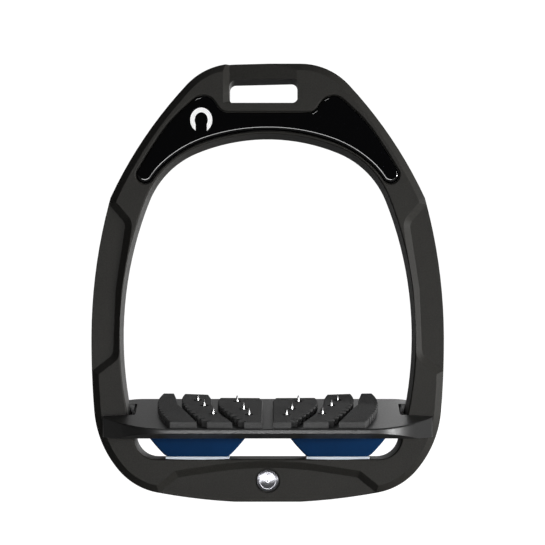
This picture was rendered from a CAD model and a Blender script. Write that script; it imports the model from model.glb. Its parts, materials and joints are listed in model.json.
"""Looks of the stirrup iron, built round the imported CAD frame. Units are metres."""

import json
import math

import bmesh
import bpy
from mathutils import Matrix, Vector


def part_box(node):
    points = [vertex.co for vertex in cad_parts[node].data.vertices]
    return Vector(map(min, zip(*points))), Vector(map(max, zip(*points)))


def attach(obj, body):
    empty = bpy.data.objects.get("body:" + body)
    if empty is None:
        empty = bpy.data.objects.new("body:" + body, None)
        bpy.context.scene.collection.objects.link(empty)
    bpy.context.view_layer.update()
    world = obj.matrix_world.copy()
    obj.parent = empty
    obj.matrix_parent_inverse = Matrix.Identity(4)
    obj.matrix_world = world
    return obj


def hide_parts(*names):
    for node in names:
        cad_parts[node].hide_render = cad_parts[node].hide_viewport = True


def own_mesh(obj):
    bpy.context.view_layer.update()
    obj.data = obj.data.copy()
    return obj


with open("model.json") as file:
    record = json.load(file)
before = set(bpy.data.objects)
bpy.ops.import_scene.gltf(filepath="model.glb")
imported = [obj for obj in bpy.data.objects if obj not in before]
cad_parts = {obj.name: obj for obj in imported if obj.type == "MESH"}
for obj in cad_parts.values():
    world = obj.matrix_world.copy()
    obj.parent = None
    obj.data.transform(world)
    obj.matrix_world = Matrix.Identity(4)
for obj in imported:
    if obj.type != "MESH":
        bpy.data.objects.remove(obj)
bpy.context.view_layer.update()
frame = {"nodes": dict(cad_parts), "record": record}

MM = 0.001
NODES = frame["nodes"]
SIDES = {"left": -1, "right": 1}
WHITE = (1, 1, 1, 1)


# ---------------------------------------------------------------- materials
CREVICE_SAMPLES = 8
BEVEL_SAMPLES = 6
CREVICE_REACH = 4 * MM
WEAR_START = 0.52               # pointiness at which an edge begins to look worn
WEAR_END = 0.62                 # and at which it is fully worn


class Shader:
    """A small helper that adds nodes to one material and links them."""

    def __init__(self, name):
        self.material = bpy.data.materials.new(name)
        self.material.use_nodes = True
        self.tree = self.material.node_tree
        self.bsdf = self.tree.nodes["Principled BSDF"]
        self.coords = self.tree.nodes.new("ShaderNodeTexCoord").outputs["Object"]

    def set(self, **values):
        """Fixed values on the shader's own sockets."""
        for key, value in values.items():
            self.bsdf.inputs[key.replace("_", " ")].default_value = value

    def link(self, source, target):
        self.tree.links.new(source, target)

    def noise(self, scale, detail=2.0, rough=0.5):
        node = self.tree.nodes.new("ShaderNodeTexNoise")
        node.inputs["Scale"].default_value = scale
        node.inputs["Detail"].default_value = detail
        node.inputs["Roughness"].default_value = rough
        self.link(self.coords, node.inputs["Vector"])
        return node.outputs["Fac"]

    def voronoi(self, scale):
        node = self.tree.nodes.new("ShaderNodeTexVoronoi")
        node.inputs["Scale"].default_value = scale
        self.link(self.coords, node.inputs["Vector"])
        return node.outputs["Distance"]

    def span(self, value, low, high, from_low=0.0, from_high=1.0):
        """Maps a value to a range of numbers."""
        node = self.tree.nodes.new("ShaderNodeMapRange")
        node.inputs["From Min"].default_value = from_low
        node.inputs["From Max"].default_value = from_high
        node.inputs["To Min"].default_value = low
        node.inputs["To Max"].default_value = high
        self.link(value, node.inputs["Value"])
        return node.outputs["Result"]

    def math(self, operation, a, b):
        node = self.tree.nodes.new("ShaderNodeMath")
        node.operation = operation
        for socket, value in zip(node.inputs, (a, b)):
            if isinstance(value, (int, float)):
                socket.default_value = value
            else:
                self.link(value, socket)
        return node.outputs[0]

    def mix(self, factor, a, b):
        """Mixes two colours, each a socket or an (r, g, b)."""
        node = self.tree.nodes.new("ShaderNodeMix")
        node.data_type = "RGBA"
        self.link(factor, node.inputs["Factor"])
        for socket, value in ((node.inputs[6], a), (node.inputs[7], b)):
            if isinstance(value, tuple):
                socket.default_value = (*value, 1.0)
            else:
                self.link(value, socket)
        return node.outputs[2]

    def crevice(self):
        """0 deep in a crevice and 1 in the open."""
        node = self.tree.nodes.new("ShaderNodeAmbientOcclusion")
        node.samples = CREVICE_SAMPLES
        node.inputs["Distance"].default_value = CREVICE_REACH
        return node.outputs["AO"]

    def wear(self):
        """How worn a place is: 1 on convex edges, from the surface's pointiness."""
        geometry = self.tree.nodes.new("ShaderNodeNewGeometry")
        return self.span(geometry.outputs["Pointiness"], 0.0, 1.0, WEAR_START, WEAR_END)

    def bump(self, height, distance, strength=1.0, soften=0.0):
        """Bump from a height; soften rounds the sharp edges of the mesh by that radius."""
        node = self.tree.nodes.new("ShaderNodeBump")
        node.inputs["Strength"].default_value = strength
        node.inputs["Distance"].default_value = distance
        self.link(height, node.inputs["Height"])
        if soften:
            bevel = self.tree.nodes.new("ShaderNodeBevel")
            bevel.samples = BEVEL_SAMPLES
            bevel.inputs["Radius"].default_value = soften
            self.link(bevel.outputs["Normal"], node.inputs["Normal"])
        self.link(node.outputs["Normal"], self.bsdf.inputs["Normal"])


def srgb(code):
    """Linear colour from a hex code."""
    parts = [int(code[i:i + 2], 16) / 255 for i in (1, 3, 5)]
    return tuple(p / 12.92 if p <= 0.04045 else ((p + 0.055) / 1.055) ** 2.4 for p in parts)


def composite():
    """Carbon-filled nylon of the frame: fine matte grain with faint mottling."""
    s = Shader("composite")
    tone = s.mix(s.noise(60, 3), srgb("#242321"), srgb("#2b2a27"))
    speckle = s.span(s.noise(1900, 2), 0.0, 1.0, 0.35, 0.65)
    s.link(s.mix(s.math("MULTIPLY", speckle, 0.3), tone, srgb("#3b3a37")), s.bsdf.inputs["Base Color"])
    s.link(s.span(s.noise(900, 3), 0.5, 0.62), s.bsdf.inputs["Roughness"])
    s.set(Specular_IOR_Level=0.12)
    grain = s.math("ADD", s.noise(3000, 2), s.math("MULTIPLY", s.noise(900, 2), 0.5))
    s.bump(grain, 0.00004, 0.6, soften=0.0003)
    return s.material


def gloss_insert():
    """Black lacquer with a faint orange-peel and hairline marks."""
    s = Shader("gloss_insert")
    marks = s.span(s.noise(500, 6, 0.7), 0.0, 1.0, 0.6, 0.75)
    s.link(s.mix(marks, srgb("#020203"), srgb("#050507")), s.bsdf.inputs["Base Color"])
    s.link(s.span(marks, 0.03, 0.09), s.bsdf.inputs["Roughness"])
    s.set(Specular_IOR_Level=0.5)
    s.bump(s.noise(220, 2), 0.00001, 0.3)
    return s.material


def tread_black():
    """Satin moulded top of the tread."""
    s = Shader("tread_black")
    tone = s.mix(s.noise(80, 4), srgb("#1f1f1f"), srgb("#272727"))
    s.link(tone, s.bsdf.inputs["Base Color"])
    s.link(s.span(s.noise(1100, 3), 0.36, 0.48), s.bsdf.inputs["Roughness"])
    s.bump(s.noise(3500, 2), 0.00003, 0.5, soften=0.00025)
    return s.material


def grip_rubber():
    """Sandy grip surface of the blocks."""
    s = Shader("grip_rubber")
    speckle = s.span(s.voronoi(2600), 0.0, 1.0, 0.1, 0.6)
    tone = s.mix(speckle, srgb("#404040"), srgb("#282828"))
    tone = s.mix(s.math("MULTIPLY", s.wear(), 0.5), tone, srgb("#565656"))
    openness = s.span(s.crevice(), 0.0, 1.0, 0.35, 0.8)
    s.link(s.mix(openness, srgb("#060606"), tone), s.bsdf.inputs["Base Color"])
    s.link(s.span(speckle, 0.7, 0.9), s.bsdf.inputs["Roughness"])
    s.bump(s.noise(2400, 4, 0.7), 0.00012, 0.8, soften=0.00015)
    return s.material


def damper_blue():
    """Navy elastomer, matte, with faint flow marks."""
    s = Shader("damper_blue")
    s.link(s.mix(s.noise(90, 5, 0.6), srgb("#052a4f"), srgb("#07335f")), s.bsdf.inputs["Base Color"])
    s.link(s.span(s.noise(700, 3), 0.6, 0.75), s.bsdf.inputs["Roughness"])
    s.set(Specular_IOR_Level=0.05)
    s.bump(s.noise(1800, 3), 0.00004, 0.5)
    return s.material


def bush_white():
    s = Shader("bush_white")
    s.link(s.mix(s.noise(200, 3), srgb("#dfe6ee"), srgb("#cfd9e6")), s.bsdf.inputs["Base Color"])
    s.link(s.span(s.noise(900, 2), 0.35, 0.5), s.bsdf.inputs["Roughness"])
    s.set(Subsurface_Weight=0.1)
    s.bump(s.noise(1500, 2), 0.00002, 0.4)
    return s.material


def metal(name, light, dark, rough_low, rough_high, scale=900):
    """Bright metal with fine lathe marks and smudges."""
    s = Shader(name)
    s.link(s.mix(s.noise(scale, 4, 0.6), srgb(light), srgb(dark)), s.bsdf.inputs["Base Color"])
    s.link(s.span(s.noise(scale * 0.4, 4), rough_low, rough_high), s.bsdf.inputs["Roughness"])
    s.set(Metallic=1.0)
    s.bump(s.noise(scale * 2, 2), 0.00001, 0.4)
    return s.material


def white_inlay():
    s = Shader("white_inlay")
    s.link(s.mix(s.noise(800, 3), srgb("#f6f6f6"), srgb("#ececec")), s.bsdf.inputs["Base Color"])
    s.link(s.span(s.noise(900, 2), 0.25, 0.4), s.bsdf.inputs["Roughness"])
    s.set(Emission_Color=WHITE, Emission_Strength=0.25)
    return s.material


MATERIALS = {
    "composite": composite(),
    "gloss_insert": gloss_insert(),
    "white_inlay": white_inlay(),
    "badge_chrome": metal("badge_chrome", "#8a8a8e", "#68686c", 0.14, 0.24, 1500),
    "tread_black": tread_black(),
    "magnet_nickel": metal("magnet_nickel", "#cfcfca", "#a8a8a2", 0.2, 0.35),
    "plain_steel": metal("plain_steel", "#b5b5b5", "#8c8c8c", 0.35, 0.5),
    "damper_blue": damper_blue(),
    "bush_white": bush_white(),
    "screw_steel": metal("screw_steel", "#c4c4c4", "#969696", 0.25, 0.4),
    "insert_brass": metal("insert_brass", "#c8a35c", "#93743a", 0.3, 0.45),
    "grip_rubber": grip_rubber(),
    "stud_steel": metal("stud_steel", "#868686", "#606060", 0.16, 0.26, 1500),
}


def dress_frame():
    """Gives each CAD node the material of its slot."""
    for entry in frame["record"]["subparts"]:
        obj = NODES[entry["node"]]
        obj.data.materials.clear()
        obj.data.materials.append(MATERIALS[entry["material_slot"]])


# ------------------------------------------------------------------ dampers
# Each soft damper takes its place and size from the CAD block and the pad that it stands on.
BLOCK_LOW, BLOCK_HIGH = (Vector(corner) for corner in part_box("damper_right"))
PAD_LOW, PAD_HIGH = (Vector(corner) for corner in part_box("guide_bush_right"))
PAD_LEDGE = 0.15 * MM           # how far the pad stands out past the foot of the damper
DAMPER_X = (BLOCK_LOW.x + BLOCK_HIGH.x) / 2
DAMPER_BASE = BLOCK_LOW.z
DAMPER_TOP = BLOCK_HIGH.z
DAMPER_LOW = (PAD_HIGH.x - PAD_LOW.x) / 2 - PAD_LEDGE       # half widths at the base
DAMPER_HIGH = (BLOCK_HIGH.x - BLOCK_LOW.x) / 2              # and under the tread
DAMPER_HALF_DEPTH = (BLOCK_HIGH.y - BLOCK_LOW.y) / 2
DAMPER_CORNER = 1.4 * MM        # radius of the foot, seen from the front
DAMPER_UPRIGHT = 0.9 * MM       # radius of the upright edges
DAMPER_END_ROUND = 0.3 * MM     # how far the first and last levels draw in
DAMPER_BOW = 0.25 * MM          # how far the sides and faces bulge
DAMPER_LEVELS = [0, 0.01, 0.03, 0.06, 0.1, 0.16, 0.25, 0.4, 0.55, 0.7, 0.85, 0.95, 1]
DISH_RIM = 6.2 * MM             # half widths of the dish in the top
DISH_FLOOR = 5.8 * MM
DISH_DEEP = 0.5 * MM
CORNER_STEPS = 6


def damper_level(share):
    """Half width and height at a share of the way up, with the foot rounded in."""
    height = DAMPER_BASE + (DAMPER_TOP - DAMPER_BASE) * share
    half = DAMPER_LOW + (DAMPER_HIGH - DAMPER_LOW) * share + DAMPER_BOW * math.sin(math.pi * share)
    rise = height - DAMPER_BASE
    if rise < DAMPER_CORNER:
        half -= DAMPER_CORNER - math.sqrt(DAMPER_CORNER ** 2 - (DAMPER_CORNER - rise) ** 2)
    return half, height


def damper(name, side):
    """A closed elastomer block, wider at the top, that flattens as its side is pressed."""
    made = bmesh.new()
    levels = []
    for share in DAMPER_LEVELS:
        half, height = damper_level(share)
        end_round = DAMPER_END_ROUND if share in (0, 1) else 0
        depth = DAMPER_HALF_DEPTH + DAMPER_BOW * math.sin(math.pi * share) - end_round
        levels.append((half, depth, height))
    # A shallow dish in the top clears the threaded insert as the tread tilts.
    levels += [(DISH_RIM, DISH_RIM, DAMPER_TOP), (DISH_FLOOR, DISH_FLOOR, DAMPER_TOP - DISH_DEEP)]
    rings = []
    for half, depth, height in levels:
        ring = []
        for cx, cy, start in ((1, 1, 0), (-1, 1, 90), (-1, -1, 180), (1, -1, 270)):
            for step in range(CORNER_STEPS + 1):
                angle = math.radians(start + 90 * step / CORNER_STEPS)
                x = cx * (half - DAMPER_UPRIGHT) + DAMPER_UPRIGHT * math.cos(angle)
                y = cy * (depth - DAMPER_UPRIGHT) + DAMPER_UPRIGHT * math.sin(angle)
                ring.append(made.verts.new((side * DAMPER_X + x, y, height)))
        rings.append(ring)
    count = len(rings[0])
    for low, high in zip(rings, rings[1:]):
        for i in range(count):
            j = (i + 1) % count
            made.faces.new((low[i], low[j], high[j], high[i]))
    made.faces.new(list(reversed(rings[0])))
    made.faces.new(rings[-1])
    for face in made.faces:
        face.smooth = len(face.verts) == 4
    mesh = bpy.data.meshes.new(name)
    made.to_mesh(mesh)
    made.free()
    piece = bpy.data.objects.new(name, mesh)
    bpy.context.scene.collection.objects.link(piece)
    mesh.materials.append(MATERIALS["damper_blue"])
    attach(piece, "frame")
    return piece


def add_dampers():
    for name, side in SIDES.items():
        piece = damper(f"damper_soft_{name}", side)
        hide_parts(f"damper_{name}")
        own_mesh(piece)


# ------------------------------------------------------------ camera, lights
# The lens stands on the toe side of the frame, a little above the tread.
CAMERA = Vector((0.0, -0.761, 0.0663))
LENS = 116.85
PITCH_UP = math.radians(2.347)
YAW_RIGHT = math.radians(0.155)
CLIP_START = 0.01
BACKGROUND = 1.05               # brightness of the surroundings as the camera sees them
STUDIO = 0.045                  # and as they light the object
FLOOR_GLOW = 0.12
FLOOR_HALF = 3.0


def add_camera():
    camera = bpy.data.cameras.new("camera")
    camera.lens = LENS
    camera.clip_start = CLIP_START
    obj = bpy.data.objects.new("camera", camera)
    obj.location = CAMERA
    obj.rotation_euler = (math.pi / 2 + PITCH_UP, 0, -YAW_RIGHT)
    bpy.context.scene.collection.objects.link(obj)
    bpy.context.scene.camera = obj


def area_light(name, place, target, size, power, diffuse=True):
    """A rectangular light; without diffuse it only shows as a reflection."""
    light = bpy.data.lights.new(name, "AREA")
    light.shape = "RECTANGLE"
    light.size, light.size_y = size
    light.energy = power
    obj = bpy.data.objects.new(name, light)
    obj.visible_diffuse = diffuse
    obj.visible_camera = False
    obj.location = place
    obj.rotation_euler = (Vector(target) - Vector(place)).to_track_quat("-Z", "Y").to_euler()
    bpy.context.scene.collection.objects.link(obj)


def add_world():
    """White surroundings for the camera and a dim studio for everything else."""
    world = bpy.data.worlds.new("studio")
    world.use_nodes = True
    bpy.context.scene.world = world
    tree = world.node_tree
    tree.nodes.clear()
    out = tree.nodes.new("ShaderNodeOutputWorld")
    mix = tree.nodes.new("ShaderNodeMixShader")
    path = tree.nodes.new("ShaderNodeLightPath")
    seen = tree.nodes.new("ShaderNodeBackground")
    seen.inputs["Color"].default_value = WHITE
    seen.inputs["Strength"].default_value = BACKGROUND
    lit = tree.nodes.new("ShaderNodeBackground")
    lit.inputs["Color"].default_value = WHITE
    lit.inputs["Strength"].default_value = STUDIO
    tree.links.new(path.outputs["Is Camera Ray"], mix.inputs["Fac"])
    tree.links.new(lit.outputs[0], mix.inputs[1])
    tree.links.new(seen.outputs[0], mix.inputs[2])
    tree.links.new(mix.outputs[0], out.inputs["Surface"])


def add_floor():
    """Plain pale floor that glows a little, as a light table does."""
    mesh = bpy.data.meshes.new("floor")
    made = bmesh.new()
    bmesh.ops.create_grid(made, x_segments=1, y_segments=1, size=FLOOR_HALF)
    made.to_mesh(mesh)
    made.free()
    floor = bpy.data.objects.new("floor", mesh)
    bpy.context.scene.collection.objects.link(floor)
    s = Shader("floor")
    s.set(Base_Color=(0.3, 0.3, 0.3, 1), Roughness=0.9, Specular_IOR_Level=0.1)
    s.set(Emission_Color=WHITE)
    path = s.tree.nodes.new("ShaderNodeLightPath")
    s.link(s.span(path.outputs["Is Camera Ray"], FLOOR_GLOW, BACKGROUND), s.bsdf.inputs["Emission Strength"])
    floor.data.materials.append(s.material)


def add_lights():
    area_light("key_right", (1.2, -0.6, 0.08), (0, 0, 0.08), (0.4, 0.12), 21)
    area_light("front_low", (0.06, -0.42, 0.012), (0, 0, 0.15), (0.42, 0.05), 0.35)
    area_light("rim_strip", (-0.25, -0.45, 0.75), (-0.1, 0, 0.05), (0.3, 0.08), 1.2, diffuse=False)
    area_light("backdrop", (0, 1.0, 0.35), (0, 0, 0.05), (1.6, 0.5), 1.4, diffuse=False)
    area_light("back_fill", (0.5, 1.1, 0.3), (0, 0, 0.1), (0.8, 0.5), 3)
    area_light("gloss_low", (-0.03, -0.5, 0.012), (-0.02, 0, 0.15), (0.3, 0.14), 2.4, diffuse=False)
    area_light("gloss_right", (0.8, -0.35, 0.3), (0, 0, 0.15), (0.05, 0.5), 2.5, diffuse=False)


# -------------------------------------------------------------------- build
bpy.context.scene.view_settings.view_transform = "Standard"
add_camera()
add_world()
add_floor()
add_lights()
dress_frame()
add_dampers()
